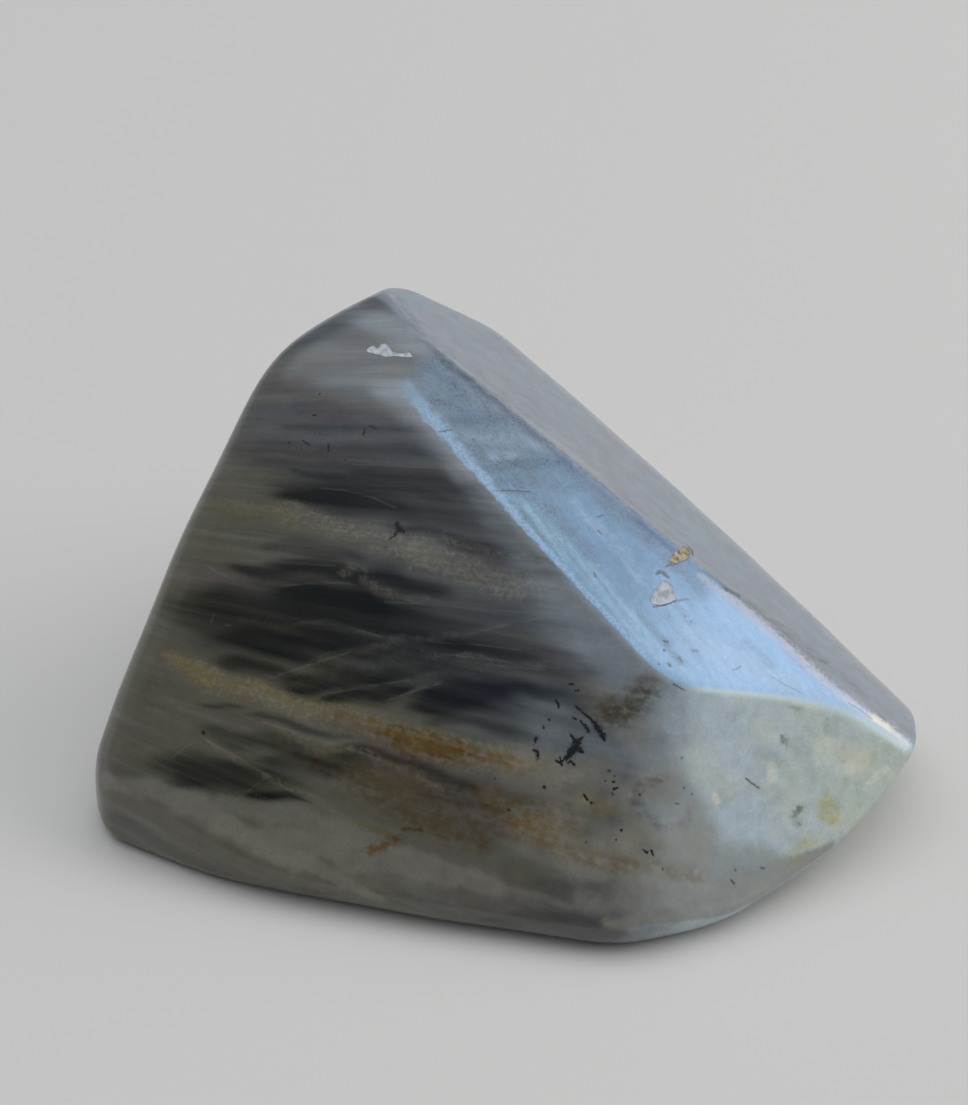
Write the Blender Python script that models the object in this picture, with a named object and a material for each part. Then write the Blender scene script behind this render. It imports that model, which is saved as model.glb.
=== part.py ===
"""Polished labradorite, about 95 mm long: one natural stone, ground to broad faces and polished.

Frame: metres, +Z up. The origin is in the middle of the stone's outline seen from above, on the
flat of the foot. +X runs along the stone to its low point, and the dark front face looks to -Y.
"""
from collections import namedtuple
import math

import bmesh
import bpy
import numpy as np

MM = 0.001

# A ground face is a very shallow dome. x, y and z are a point on it in mm, looks is the way it
# looks seen from above (degrees from +X towards +Y), tips is how far it leans from straight up,
# and dome is the radius of its dome in mm.
Face = namedtuple("Face", "x y z looks tips dome")

# The faces are ground one group after another. seam rounds the edges inside a group and edge
# rounds those to the groups before it, in mm, from the foot of the stone to its top.
Group = namedtuple("Group", "seam edge_at_foot edge_at_top faces")

BROAD = 600
DEAD_FLAT = 20000

GROUPS = {
    "front": Group(1.8, 0, 0, [
        Face(-8, -1.5, 27, -101.5, 50, 900),
        Face(30, -14, 11.7, -65, 55.5, BROAD),
    ]),
    "shoulder": Group(1, 2.5, 2.5, [
        Face(-13, 22, 48.4, -74, 12.8, BROAD),
    ]),
    "left side": Group(3, 5.5, 5.5, [
        Face(-35.8, 7.3, 29.7, 160.2, 75.1, 300),
        Face(-18.6, 28.7, 49, 130.8, 75.7, 480),
    ]),
    "skirt": Group(1.5, 1.3, 1.3, [
        Face(-43.1, -7.9, 5, -159.9, 87.7, BROAD),
        Face(-25.6, -16.2, 7, -115, 88, BROAD),
        Face(0, -22, 2.8, -101.5, 112, BROAD),
        Face(17, -24, 3, -75, 108, BROAD),
    ]),
    "flash": Group(1, 0.25, 0.9, [
        Face(17, 4, 31.2, -46.1, 29.9, DEAD_FLAT),
        Face(44, -3, 16.3, -50.3, 45.8, 740),
    ]),
    "back right": Group(3, 2.2, 0.5, [
        Face(20.3, 9.1, 31.7, 14.1, 37.3, 900),
        Face(24.8, 26.8, 24.6, 39.9, 65.7, 1040),
    ]),
    "under right": Group(2, 1.2, 1.2, [
        Face(45.6, -9.8, 11, -25, 122, BROAD),
        Face(33, -18.5, 5.7, -50, 122, BROAD),
    ]),
    "back": Group(6, 2, 2, [
        Face(-8, 45, 25, 100, 76, BROAD),
    ]),
    "foot": Group(1, 3, 3, [
        Face(0, 10, -0.2, 0, 180, DEAD_FLAT),
    ]),
}

STONE_HEIGHT = 50
HEART = (0, 10, 20)
LONGEST_REACH = 120
HALVINGS = 34

SPHERE_SUBDIVISIONS = 8
TRIANGLES = 9000
SAW_SIZE = 0.3

COLOUR = (0.115, 0.125, 0.118, 1)
ROUGHNESS = 0.15


def looking(azimuth, tilt):
    """The unit normal of a face, from its two angles in degrees."""
    around, down = math.radians(azimuth), math.radians(tilt)
    return np.array([
        math.cos(around) * math.sin(down),
        math.sin(around) * math.sin(down),
        math.cos(down),
    ])


def outside_face(points, face):
    """How far each point lies outside one ground face, in mm."""
    centre = np.array([face.x, face.y, face.z]) - face.dome * looking(face.looks, face.tips)
    return np.linalg.norm(points - centre, axis=1) - face.dome


def rounded_max(first, second, rounding):
    """The larger of two distances, with the edge where they meet rounded over."""
    near_edge = np.maximum(rounding - np.abs(first - second), 0)
    return np.maximum(first, second) + near_edge ** 2 / (4 * rounding)


def outside_stone(points):
    """How far each point lies outside the whole stone, in mm: below 0 is inside."""
    stone = None
    height = np.clip(points[:, 2] / STONE_HEIGHT, 0, 1)
    for group in GROUPS.values():
        ground = outside_face(points, group.faces[0])
        for face in group.faces[1:]:
            ground = rounded_max(ground, outside_face(points, face), group.seam)
        edge = group.edge_at_foot + (group.edge_at_top - group.edge_at_foot) * height
        stone = ground if stone is None else rounded_max(stone, ground, edge)
    return stone


def surface_points(directions):
    """The points where rays from the stone's heart leave it, in mm."""
    heart = np.array(HEART, float)
    near = np.zeros(len(directions))
    far = np.full(len(directions), float(LONGEST_REACH))
    for _ in range(HALVINGS):
        middle = (near + far) / 2
        inside = outside_stone(heart + directions * middle[:, None]) < 0
        near = np.where(inside, middle, near)
        far = np.where(inside, far, middle)
    return heart + directions * near[:, None]


def centred(points):
    """The same points with the middle of their outline, seen from above, at x = y = 0."""
    middle = (points.min(axis=0) + points.max(axis=0)) / 2
    return points - np.array([middle[0], middle[1], 0])


def stone_mesh():
    """A fine ball whose points are moved to the stone's surface."""
    bm = bmesh.new()
    bmesh.ops.create_icosphere(bm, subdivisions=SPHERE_SUBDIVISIONS, radius=1)
    mesh = bpy.data.meshes.new("labradorite")
    bm.to_mesh(mesh)
    bm.free()

    directions = np.empty(len(mesh.vertices) * 3)
    mesh.vertices.foreach_get("co", directions)
    directions = directions.reshape(-1, 3)
    directions /= np.linalg.norm(directions, axis=1, keepdims=True)

    points = centred(surface_points(directions)) * MM
    mesh.vertices.foreach_set("co", points.ravel())
    mesh.update()
    mesh.shade_smooth()
    return mesh


def stone_material():
    """Polished grey-green labradorite."""
    material = bpy.data.materials.new("polished labradorite")
    material.use_nodes = True
    shader = material.node_tree.nodes["Principled BSDF"]
    shader.inputs["Base Color"].default_value = COLOUR
    shader.inputs["Roughness"].default_value = ROUGHNESS
    shader.inputs["Metallic"].default_value = 0
    return material


def saw_block():
    """The block below z = 0 that cuts the foot flat. It is a tool, and not part of the stone."""
    bm = bmesh.new()
    bmesh.ops.create_cube(bm, size=SAW_SIZE)
    bmesh.ops.translate(bm, verts=bm.verts, vec=(0, 0, -SAW_SIZE / 2))
    mesh = bpy.data.meshes.new("foot saw")
    bm.to_mesh(mesh)
    bm.free()
    saw = bpy.data.objects.new("foot_saw", mesh)
    saw.hide_render = True
    saw.display_type = "WIRE"
    bpy.context.scene.collection.objects.link(saw)
    return saw


def make_stone():
    """The stone, thinned out where it is flat and cut flat across its foot."""
    mesh = stone_mesh()
    mesh.materials.append(stone_material())
    stone = bpy.data.objects.new("labradorite", mesh)
    bpy.context.scene.collection.objects.link(stone)

    thin_out = stone.modifiers.new("thin out", "DECIMATE")
    thin_out.ratio = TRIANGLES / len(mesh.polygons)

    cut_foot = stone.modifiers.new("cut foot", "BOOLEAN")
    cut_foot.operation = "DIFFERENCE"
    cut_foot.object = saw_block()
    return stone


for old in list(bpy.data.objects):
    bpy.data.objects.remove(old, do_unlink=True)

make_stone()
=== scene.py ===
"""The looks of a polished labradorite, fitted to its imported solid.

The stone is worked out in mm in the frame that it was ground in, where its foot is at z = 0,
and is then moved to the solid's own frame. Marks are placed by pixels of the 968 x 1105 picture.
"""
from collections import namedtuple
import math

import bmesh
import bpy
import numpy as np
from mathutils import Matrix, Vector
from mathutils.kdtree import KDTree


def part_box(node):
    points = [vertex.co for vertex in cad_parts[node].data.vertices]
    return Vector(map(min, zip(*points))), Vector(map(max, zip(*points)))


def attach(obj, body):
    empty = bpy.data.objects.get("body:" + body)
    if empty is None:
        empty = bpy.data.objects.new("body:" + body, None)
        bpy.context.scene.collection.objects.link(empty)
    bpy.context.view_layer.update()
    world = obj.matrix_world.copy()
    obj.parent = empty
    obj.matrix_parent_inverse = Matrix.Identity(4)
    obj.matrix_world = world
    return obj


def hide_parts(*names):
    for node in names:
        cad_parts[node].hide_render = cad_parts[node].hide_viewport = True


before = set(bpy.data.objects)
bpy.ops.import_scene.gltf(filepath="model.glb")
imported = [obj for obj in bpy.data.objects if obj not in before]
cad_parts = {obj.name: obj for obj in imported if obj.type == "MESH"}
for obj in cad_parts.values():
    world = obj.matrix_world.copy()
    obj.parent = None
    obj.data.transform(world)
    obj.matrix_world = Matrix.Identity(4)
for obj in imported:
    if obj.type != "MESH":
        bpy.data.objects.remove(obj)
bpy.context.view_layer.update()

MM = 0.001

# A ground face is a very shallow dome. x, y and z are a point on it in mm, looks is the way it
# looks seen from above (degrees from +X towards +Y), tips is how far it leans from straight up,
# and dome is the radius of its dome in mm.
Face = namedtuple("Face", "x y z looks tips dome")

# The faces are ground one group after another. seam rounds the edges inside a group and edge
# rounds those to the groups before it, in mm, from the foot of the stone to its top.
Group = namedtuple("Group", "seam edge_at_foot edge_at_top faces")

BROAD = 600
DEAD_FLAT = 20000

DARK_FRONT = Face(-8, -1.5, 27, -101.5, 50, 900)
PALE_FRONT = Face(30, -14, 11.7, -65, 55.5, BROAD)
BLUE_FACE = Face(17, 4, 31.2, -46.1, 29.9, DEAD_FLAT)
GREY_BACK = Face(20.3, 9.1, 31.7, 14.1, 37.3, 900)
SHOULDER = Face(-13, 22, 48.4, -74, 12.8, BROAD)

GROUPS = {
    "front": Group(1.8, 0, 0, [
        DARK_FRONT,
        PALE_FRONT,
    ]),
    "shoulder": Group(1, 2.5, 2.5, [
        SHOULDER,
    ]),
    "left side": Group(3, 5.5, 5.5, [
        Face(-35.8, 7.3, 29.7, 160.2, 75.1, 300),
        Face(-18.6, 28.7, 49, 130.8, 75.7, 480),
    ]),
    "skirt": Group(1.5, 1.3, 1.3, [
        Face(-43.1, -7.9, 5, -159.9, 87.7, BROAD),
        Face(-25.6, -16.2, 7, -115, 88, BROAD),
        Face(0, -22, 2.8, -101.5, 112, BROAD),
        Face(17, -24, 3, -75, 108, BROAD),
    ]),
    "flash": Group(1, 0.25, 0.9, [
        BLUE_FACE,
        Face(44, -3, 16.3, -50.3, 45.8, 740),
    ]),
    "back right": Group(3, 2.2, 0.5, [
        GREY_BACK,
        Face(24.8, 26.8, 24.6, 39.9, 65.7, 1040),
    ]),
    "under right": Group(2, 1.2, 1.2, [
        Face(45.6, -9.8, 11, -25, 122, BROAD),
        Face(33, -18.5, 5.7, -50, 122, BROAD),
    ]),
    "back": Group(6, 2, 2, [
        Face(-8, 45, 25, 100, 76, BROAD),
    ]),
    "foot": Group(1, 3, 3, [
        Face(0, 10, -0.2, 0, 180, DEAD_FLAT),
    ]),
}

STONE_HEIGHT = 50

# The surface is found along rays from the stone's heart, by Newton's steps. Lengths are in mm.
HEART = (0, 10, 20)
LONGEST_REACH = 120
STEPS = 10
ROUGH_STEPS = 5
SMALL_STEP = 0.001
LEAST_FALL = 0.05
NORMAL_STEP = 0.01
TINY = 1e-6

# The camera, in the grinding frame: its lens, sensor and places in mm, and its tilt in degrees.
PICTURE_WIDTH = 968
PICTURE_HEIGHT = 1105
LENS = 60
SENSOR = 36
CAMERA_TILT = 38
CAMERA_DISTANCE = 205
LOOKED_AT = (0, 8, 30)

# Hand polishing leaves the faces very slightly wavy: the waves' length and height in mm, and the
# way that they run.
POLISH_WAVES = [
    (17, 0.035, (0.8, 0.5, 0.3)),
    (12, 0.022, (-0.4, 0.7, 0.6)),
    (9, 0.012, (0.5, -0.6, 0.6)),
]

# The sides of zones wander, in waves: their length and size in mm, and the way that they run.
# What they do along y is quicker, and comes later.
WANDERINGS = [
    (9, 0.22, (0.7, -0.3, 0.6)),
    (5.3, 0.12, (-0.5, 0.8, 0.2)),
]
WANDER_QUICKER = 1.3
WANDER_LATER = 2

# The skin's mesh. Edges are halved where the surface turns (in degrees), where it faces the
# camera, and near marks. Lengths are in mm.
BALL_SUBDIVISIONS = 6
ROUNDS = 5
LONGEST_EDGE = 1.5
SEEN_EDGE = 0.68
SEEN_FROM = 0.25
TURN = 10
TURNING_EDGE = 0.28
MARK_EDGE = 0.17
MARK_NEARNESS = 0.6
MARK_MARGIN = 0.1
MARK_SPACING = 0.1
CHIP_MARGIN = 0.3
CHIP_RINGS = (1, 0.7, 0.4, 0.1)

# One point of a stroke: a pixel and the stroke's half width there, in pixels.
Dab = namedtuple("Dab", "x y half")


def stroke(*dabs):
    """A stroke through dabs that are given as plain numbers."""
    return [Dab(*dab) for dab in dabs]


def dots(name, *dabs):
    """Strokes of one dab each, which are numbered from 1."""
    return {f"{name} {number}": stroke(dab) for number, dab in enumerate(dabs, 1)}


# Black inclusions, which lie in the polished surface.
INK = {
    "needle": stroke((576, 706.5, 1.2), (583, 713, 1.2), (590, 718, 1.3), (593, 722, 1.6)),
    "needle's thick end": stroke((594, 723, 2), (598, 729, 3.4), (602, 735, 3), (604.5, 740, 1.6)),
    "short needle": stroke((580, 721, 0.9), (585, 726, 1.6), (588.5, 731, 1.8)),
    "tick over the short needle": stroke((572, 717.5, 0.8), (576, 719.5, 1.1)),
    "trunk": stroke((577, 743, 4.6), (575, 748, 4.6), (570, 754, 3.6), (566, 759, 2.2)),
    "right root": stroke((578, 747, 3), (582, 752, 2)),
    "left branch": stroke((570, 734, 1), (574, 740, 1.4)),
    "right branch": stroke((583, 737, 0.9), (579, 741, 1.8)),
    "twig": stroke((556, 761, 1.2), (560, 763, 1.4), (562, 765, 1.2)),
    "twig's fork": stroke((559.5, 757, 0.8), (561, 762, 1.1), (566, 758, 1)),
    "bud": stroke((568, 763, 1.4), (571, 761.5, 1.2), (574, 765, 1.3)),
    "upper fleck": stroke((555, 700, 1), (558, 704, 1.3), (558.5, 707.5, 1.1)),
    "left fleck": stroke((536.3, 738, 1.9), (535, 742, 1.2)),
    "left blot": stroke((533, 750, 0.9), (537, 752, 2), (538, 757, 2)),
    **dots("dot beside the needle", (536.5, 759.7, 0.9), (549, 720, 1.3), (543.5, 727.5, 1.3)),
    "dash by the window": stroke((575.5, 691, 1.1), (578.5, 690.5, 1.1)),
    "dash above it": stroke((569, 684, 1), (573, 684.5, 1.2)),
    **dots("row of dots", (609, 771, 1.4), (614.5, 776, 1), (612.5, 794, 1.5), (605, 781, 0.9)),
    "dash in the row of dots": stroke((612.5, 782, 1.1), (614.5, 782, 1.3)),
    "blot in the row of dots": stroke((614.5, 789, 1.8), (617.5, 788, 1.1)),
    **dots("low dot", (544.5, 787.7, 1.8), (591.5, 803, 1.8)),
    "low dash": stroke((584, 795, 1.1), (587.5, 800, 1.3)),
    **dots("dot by the ochre", (508.5, 810, 1.5), (495, 779, 0.9)),
    "pit on the left": stroke((203.5, 733, 1.9)),
    **dots(
        "pale dot",
        (640, 795, 1.2), (682, 758, 1.2), (684, 788, 1.1), (692, 794, 1), (621.5, 830.5, 1.4),
        (616, 840, 1), (586, 842.5, 1.2), (662.5, 869, 1.1), (735, 870, 1.1),
    ),
    "pale dash 1": stroke((675.5, 803.5, 0.7), (678.5, 804.5, 0.9)),
    "pale dash 2": stroke((643.5, 850, 0.8), (647, 853, 1.1)),
    "pale dash 3": stroke((651, 850, 0.9), (653, 855, 1)),
    "pale dash 4": stroke((731, 880, 0.8), (734, 884, 1)),
    "pale dash 5": stroke((760, 867.5, 0.7), (763.5, 868.5, 0.9)),
    "hair on the pale front": stroke((746, 779, 1.1), (751, 783, 0.8), (758.5, 788, 0.9)),
    "top tick 1": stroke((313, 415, 0.9), (316, 415.5, 0.9)),
    "top tick 2": stroke((303, 440.5, 0.8), (306, 443, 0.9), (309.5, 445, 0.8)),
    "top tick 3": stroke((328.5, 444, 0.9), (328.5, 451.5, 0.8)),
    "top tick 4": stroke((365, 429, 0.8), (363.5, 435, 0.9)),
    "top tick 5": stroke((370, 426, 0.9), (374, 427, 0.9), (376, 429, 0.8)),
    **dots(
        "top dot",
        (289, 442.5, 1), (301.5, 448.5, 0.8), (345, 459.5, 1), (319.5, 394, 0.9), (320, 434, 0.8),
    ),
    "blot in the upper band": stroke((397, 524, 2.4), (399, 529, 3), (404, 532, 1.2)),
    "root of the blot": stroke((399, 530, 1.4), (394, 536, 0.8), (390, 539, 0.6)),
    "blue face speck 1": stroke((664, 641, 1.3), (667, 642, 1.5)),
    "blue face speck 2": stroke((692, 650.5, 1.3), (697, 651, 1.5)),
    "blue face speck 3": stroke((668.5, 664, 1.4), (670, 666, 1.4)),
    "blue face speck 4": stroke((679, 657, 1.3), (681, 661, 1.2)),
    **dots(
        "blue face dot",
        (659, 664, 1), (664, 650.5, 1.3), (668.5, 616, 1), (685, 616, 1.1), (691, 622, 0.8),
        (682, 627.5, 0.8),
    ),
    "blue face speck 5": stroke((594, 573, 0.9), (595.5, 577, 0.7)),
    "blue face speck 6": stroke((598, 517, 0.8), (603, 515, 0.7)),
    "blue face speck 7": stroke((598, 530, 0.6), (602, 535, 0.6)),
    "blue face curl": stroke((733, 670, 0.5), (738, 668, 0.6), (741, 666, 0.5)),
    "speck by the back ridge": stroke((558.5, 462, 1.1)),
    "crack across the bright band": stroke((438, 432, 0.6), (445, 431, 0.8), (452, 429.5, 0.6)),
    "second crack": stroke((497, 491, 0.5), (512, 490.5, 0.7), (530, 492, 0.5)),
    "dark cap of the white chip": stroke(
        (656.5, 574, 1.2), (660, 571.5, 1.7), (664, 573.5, 2), (668, 577.5, 1.2),
    ),
    "line under the white chip": stroke(
        (653, 607, 0.8), (664, 604.8, 1.2), (672, 602, 1.3), (688, 599, 0.7),
    ),
    "line under the gold chip": stroke((665.5, 567, 0.7), (669, 565, 1), (675, 564.8, 1)),
    "arc round the gold chip": stroke((687, 545, 0.7), (692, 550, 1.2), (692.5, 555, 0.9)),
    "crease over the right ridge": stroke((770, 676, 0.3), (785, 685, 0.5), (801, 693, 0.4)),
    "crease by the tip": stroke((848, 703, 0.4), (858, 708.5, 0.6), (872, 719, 0.5)),
    "groove at the fork": stroke((673, 684, 0.5), (679, 687.5, 0.7), (686, 691, 0.5)),
}

# Hair-fine light lines in the front.
LINES = {
    "over the lens": stroke((322, 488, 1), (345, 490, 1.4), (372, 497, 1.4), (396, 508, 1)),
    "under the upper streak": stroke((352, 464, 1), (400, 466, 1.4), (466, 470, 1)),
    "foot of the light band": stroke((385, 602, 1.2), (440, 605, 1.4), (500, 611, 1.4), (580, 615, 1)),
    "over the great window": stroke((282, 586, 1.2), (310, 583, 1.8), (345, 583, 1.6), (372, 590, 1)),
    "left strand": stroke((240, 560, 1), (290, 563, 1.6), (335, 566, 1)),
    "far left strand": stroke((192, 553, 1), (214, 570, 1.4), (236, 580, 1)),
    "right fibre 1": stroke((440, 654, 0.9), (480, 658, 1.3), (520, 664, 1.3), (560, 668, 0.9)),
    "right fibre 2": stroke((455, 661, 0.9), (500, 666, 1.2), (545, 670, 0.9)),
    "right fibre 3": stroke((430, 642, 0.9), (480, 645, 1.2), (520, 650, 0.9)),
    "right fibre 4": stroke((300, 622, 0.9), (345, 626, 1.4), (382, 637, 1)),
    "right fibre 5": stroke((470, 634, 0.9), (510, 624, 1.2), (545, 618, 0.9)),
    "fan 1": stroke((272, 678, 0.9), (312, 664, 1.4), (350, 652, 1)),
    "fan 2": stroke((322, 695, 0.9), (365, 687, 1.5), (410, 680, 1.1)),
    "fan 3": stroke((388, 700, 0.9), (420, 689, 1.3), (440, 684, 0.9)),
    "diagonal": stroke((200, 736, 1), (232, 754, 1.6), (262, 772, 1.6), (290, 791, 1.6), (308, 801, 1.2)),
    "branch": stroke((172, 758, 0.9), (185, 748, 1), (197, 741, 0.9)),
    "thin rise": stroke((232, 803, 0.8), (250, 790, 1), (264, 779, 0.8)),
    "under the vein": stroke((262, 722, 1), (310, 737, 1.4), (365, 754, 1.4), (400, 768, 1)),
    "low scratch": stroke((477, 889, 0.8), (481, 895, 1.3), (484, 900, 0.8)),
    "white fleck": stroke((214, 614, 1.2), (212, 620, 1.8), (211, 623, 1)),
    "small white fleck": stroke((226, 625, 1), (230, 626, 1)),
    "knot": stroke((342, 571, 1.4), (350, 567, 2), (356, 570, 1.2)),
}

# A zone of colour inside the stone: how strong it is at its middle, and its stroke.
Zone = namedtuple("Zone", "strength dabs")


def zone(strength, *dabs):
    """A zone of this strength along a stroke through these dabs."""
    return Zone(strength, stroke(*dabs))


# Clear, nearly black windows in the front.
DARK_ZONES = {
    "deep top": zone(0.45, (310, 470, 38), (360, 490, 46), (405, 502, 34)),
    "hall": zone(0.78, (225, 606, 22), (265, 624, 44), (320, 640, 58), (385, 652, 60)),
    "hall's left": zone(0.25, (215, 620, 26), (235, 640, 30)),
    "hall's right": zone(0.34, (385, 652, 60), (460, 664, 54), (530, 670, 40), (575, 668, 20)),
    "deep right": zone(0.15, (430, 500, 45), (490, 590, 60), (530, 640, 50)),
    "streak at the top": zone(0.4, (292, 428, 7), (340, 429, 9), (410, 432, 6)),
    "upper streak": zone(0.45, (325, 449, 6), (370, 452, 13), (450, 455, 12)),
    "wedge by the ridge": zone(0.6, (365, 474, 6), (400, 479, 13), (438, 485, 17)),
    "thin wedge": zone(0.6, (285, 470, 3), (330, 480, 10), (380, 488, 12), (430, 498, 12)),
    "upper lens": zone(0.97, (296, 501, 10), (325, 501, 20), (358, 504, 21), (388, 509, 12)),
    "behind the lens": zone(0.4, (395, 512, 16), (430, 517, 16)),
    "between the windows": zone(0.5, (262, 576, 16), (300, 580, 20), (340, 584, 16)),
    "streaks over the light band": zone(0.65, (412, 531, 9), (460, 543, 12), (510, 556, 12), (565, 570, 9)),
    "under the band": zone(0.75, (300, 570, 14), (335, 572, 20), (370, 580, 24), (415, 594, 14)),
    "left of the band": zone(0.5, (275, 547, 7), (310, 550, 12), (350, 554, 8)),
    "strip under the band": zone(
        0.6, (245, 571, 8), (300, 571, 12), (345, 573, 11), (400, 582, 10), (435, 592, 8),
    ),
    "great window": zone(0.95, (312, 603, 24), (335, 606, 30), (360, 608, 28)),
    "great window's olive side": zone(0.35, (240, 604, 22), (270, 608, 30)),
    "great window's right": zone(0.25, (400, 618, 16), (440, 620, 17), (510, 625, 15), (575, 630, 12)),
    "second window": zone(0.7, (252, 648, 20), (280, 654, 24), (320, 650, 22), (340, 644, 12)),
    "second window's right": zone(0.15, (360, 650, 14), (420, 656, 14), (470, 650, 14), (560, 655, 10)),
    "corner over the vein": zone(0.8, (245, 668, 14), (275, 676, 15), (300, 678, 12)),
    "third window": zone(0.9, (305, 690, 9), (335, 688, 17), (365, 682, 18), (395, 674, 11)),
    "fourth window": zone(0.8, (335, 702, 7), (365, 698, 10), (400, 690, 8)),
    "right window": zone(0.88, (432, 712, 12), (458, 703, 21), (490, 697, 23), (528, 695, 18)),
    "striped toe": zone(0.5, (430, 722, 5), (470, 724, 9), (505, 731, 11), (530, 737, 6)),
    "streak under the vein": zone(0.6, (200, 703, 3), (225, 706, 6), (245, 709, 3)),
    "brown streak": zone(0.5, (240, 715, 4), (275, 721, 8), (310, 730, 7), (345, 737, 4)),
    "grey patch": zone(0.55, (222, 735, 12), (258, 745, 17), (290, 752, 12)),
    "second grey patch": zone(0.6, (282, 765, 10), (312, 768, 17), (345, 762, 12), (365, 755, 7)),
    "green window": zone(0.8, (190, 786, 12), (215, 780, 30), (245, 778, 26), (262, 775, 12)),
    "small green window": zone(0.85, (262, 796, 7), (285, 799, 9), (304, 804, 3)),
    "mauve-grey streak": zone(0.45, (345, 748, 6), (385, 756, 9), (430, 772, 11), (465, 790, 9)),
    "grey oval": zone(0.35, (440, 797, 12), (462, 805, 12)),
    # The two shades below are painted shade along the stone's lower edge, not windows.
    "blue shade at the skirt": zone(0.14, (545, 888, 12), (600, 889, 12)),
    "bottom shade": zone(0.35, (500, 922, 9), (560, 920, 12), (640, 922, 12), (700, 910, 9)),
    "fork's cloud": zone(0.65, (604, 716, 14), (624, 702, 20), (648, 688, 14)),
    "olive skirt": zone(0.3, (125, 825, 16), (190, 862, 18), (270, 885, 14), (340, 900, 10)),
}

# Light, fibrous bands across the front.
VEIL_ZONES = {
    "thin band 1": zone(0.12, (258, 437, 5), (330, 440, 6), (420, 439, 6)),
    "thin band 2": zone(0.12, (245, 459, 5), (300, 459, 5), (350, 463, 5), (445, 466, 5)),
    "thin band 3": zone(0.15, (232, 465, 6), (262, 479, 7), (305, 488, 4)),
    "light band's start": zone(0.22, (212, 503, 12), (250, 508, 20), (292, 518, 18)),
    "light band": zone(0.6, (292, 518, 18), (340, 530, 18), (380, 542, 20), (420, 556, 24)),
    "light band's right": zone(
        0.66, (420, 556, 24), (470, 575, 24), (520, 590, 20), (570, 602, 14), (590, 606, 8),
    ),
    "knot": zone(0.25, (340, 573, 5), (352, 566, 8), (372, 572, 5)),
    "light band's foot": zone(0.3, (362, 580, 6), (382, 592, 9), (402, 599, 7), (440, 603, 4)),
    "upper branch": zone(0.35, (440, 538, 5), (490, 552, 7), (540, 565, 7)),
    "left strand": zone(0.06, (183, 546, 4), (208, 563, 4), (240, 578, 5), (290, 584, 5), (345, 581, 5)),
    "second left strand": zone(0.06, (225, 561, 3), (285, 564, 4), (340, 567, 3)),
    "strand over the second window": zone(
        0.12, (240, 622, 4), (300, 623, 4), (350, 628, 4), (385, 638, 5), (440, 641, 4),
    ),
    "right fibres": zone(0.18, (430, 655, 4), (480, 660, 8), (530, 666, 8), (575, 668, 5)),
    "rising arc": zone(0.14, (420, 641, 4), (470, 633, 6), (515, 622, 6), (565, 618, 4)),
    "fan 1": zone(0.15, (268, 679, 4), (310, 665, 6), (350, 654, 7), (400, 641, 8)),
    "film between the fans": zone(0.1, (300, 684, 8), (360, 672, 16), (420, 660, 18), (480, 665, 12)),
    "fan 2": zone(0.1, (318, 697, 3), (360, 689, 5), (405, 681, 6), (445, 675, 7), (475, 679, 4)),
    "fan 3": zone(0.14, (385, 702, 3), (415, 691, 5), (445, 683, 4)),
    "vein": zone(0.9, (168, 658, 9), (188, 669, 19), (205, 678, 19), (240, 691, 17), (280, 704, 16)),
    "vein's middle": zone(0.9, (280, 704, 16), (330, 717, 17), (380, 731, 19), (430, 746, 21)),
    "vein's right": zone(0.85, (430, 746, 21), (470, 758, 23), (520, 764, 25), (565, 775, 18)),
    "strand under the vein": zone(
        0.35, (240, 714, 4), (280, 731, 5), (330, 744, 6), (370, 757, 6), (405, 770, 6), (445, 788, 5),
    ),
    "diagonal": zone(
        0.3, (192, 734, 3), (225, 751, 4), (255, 769, 5), (283, 787, 5), (307, 800, 6), (335, 811, 7),
    ),
}

# Smooth grey haze under the polish.
HAZE_ZONES = {
    "top left": zone(0.2, (258, 396, 14), (280, 368, 24), (320, 358, 26)),
    "low haze": zone(0.5, (225, 806, 14), (280, 822, 24), (340, 836, 26), (380, 850, 20)),
    "light arc": zone(0.75, (108, 785, 16), (150, 796, 22), (190, 812, 24), (225, 832, 22)),
    "light arc's right": zone(
        0.85, (225, 832, 22), (262, 852, 20), (305, 873, 18), (345, 888, 14), (380, 899, 8),
    ),
    "bottom cloud": zone(
        0.75, (250, 842, 20), (300, 856, 32), (360, 868, 34), (430, 880, 30), (490, 892, 20),
    ),
    "low diagonal": zone(0.35, (408, 850, 5), (440, 862, 8), (480, 878, 10), (525, 897, 8), (570, 908, 5)),
    "light by the trunk": zone(0.35, (490, 765, 20), (540, 775, 26), (600, 770, 22)),
}

# Bluish milk in the front, near the blue face.
MILK_ZONES = {
    "by the ridge's top": zone(0.75, (392, 390, 16), (418, 416, 18), (448, 450, 16), (468, 474, 12)),
    "beside the ridge": zone(0.4, (452, 450, 10), (484, 496, 11), (520, 546, 15), (564, 602, 20)),
    "shoulder's left": zone(0.16, (292, 344, 22), (330, 320, 26), (368, 302, 22), (392, 292, 14)),
    "at the shoulder": zone(0.3, (330, 380, 14), (380, 378, 18), (405, 380, 16)),
    "shoulder's top": zone(0.66, (345, 312, 22), (395, 325, 26), (420, 350, 24)),
    "along the ridge": zone(0.25, (500, 510, 12), (540, 560, 22), (580, 610, 34)),
    "middle right": zone(0.88, (586, 612, 38), (616, 646, 46), (640, 686, 32)),
    "behind the trunk": zone(0.35, (540, 705, 20), (560, 740, 24), (610, 750, 30), (660, 750, 40)),
    "front's right": zone(0.35, (650, 725, 40), (675, 780, 40), (690, 830, 32)),
}

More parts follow.
